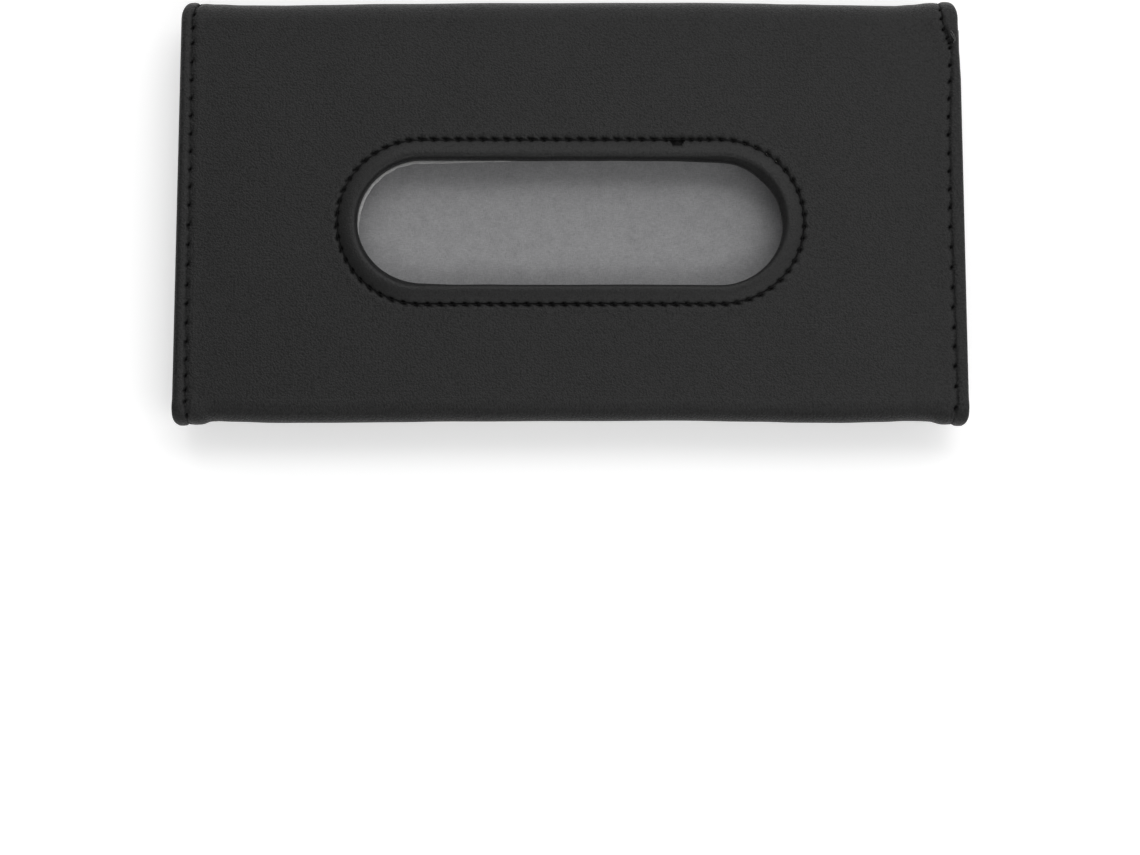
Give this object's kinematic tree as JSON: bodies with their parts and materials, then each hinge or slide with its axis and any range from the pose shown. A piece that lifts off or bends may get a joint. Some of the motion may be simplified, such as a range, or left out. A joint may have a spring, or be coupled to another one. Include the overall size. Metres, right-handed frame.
{
  "type": "car tissue holder",
  "caption": "Flat leather case for tissues with a long rounded window in its front, stitched end hems, a lift-up back cover and a strap for a sun visor.",
  "frame": {"origin": "centre of the case in plan, at the level of the strap's outer face that it lies on", "axes": "+X along the case to the right, +Y towards its top fold, +Z out of the front face with the window"},
  "size_m": [0.23, 0.1264, 0.0207],
  "materials": {
    "black_leather": "fine pebbled grain, semi-matt black leatherette",
    "stiffener_board": "grey pressed board",
    "grey_lining": "plain grey non-woven lining",
    "gusset_cloth": "black coated cloth",
    "black_webbing": "woven elastic webbing",
    "loop_pile": "soft loop pile",
    "hook_pile": "moulded hook tape",
    "magnet_steel": "plated disc magnets"
  },
  "bodies": {
    "front_shell": {"front_skin": "black_leather", "front_board": "stiffener_board", "front_lining": "grey_lining", "window_binding": "black_leather", "top_fold": "black_leather", "top_fold_lining": "grey_lining", "bottom_fold": "black_leather", "bottom_fold_lining": "grey_lining", "lip_skin": "black_leather", "lip_board": "stiffener_board", "lip_lining": "grey_lining", "lip_magnets": "magnet_steel", "left_gusset": "gusset_cloth", "right_gusset": "gusset_cloth"},
    "back_cover": {"cover_skin": "black_leather", "cover_board": "stiffener_board", "cover_lining": "grey_lining", "cover_magnets": "magnet_steel", "strap_base": "black_webbing", "loop_patch": "loop_pile", "upper_anchor": "black_leather", "lower_anchor": "black_leather"},
    "tail": {"strap_tail": "black_webbing", "hook_patch": "hook_pile", "pull_tab": "black_leather"}
  },
  "joints": [
    {"name": "cover_hinge", "type": "hinge", "parent": "front_shell", "child": "back_cover", "pos_m": [0, 0.0551, 0.0049], "axis": [1, 0, 0], "range_deg": [0, 100]},
    {"name": "strap_hinge", "type": "hinge", "parent": "back_cover", "child": "tail", "pos_m": [0, 0.0471, 0], "axis": [1, 0, 0], "range_deg": [0, 120]}
  ]
}
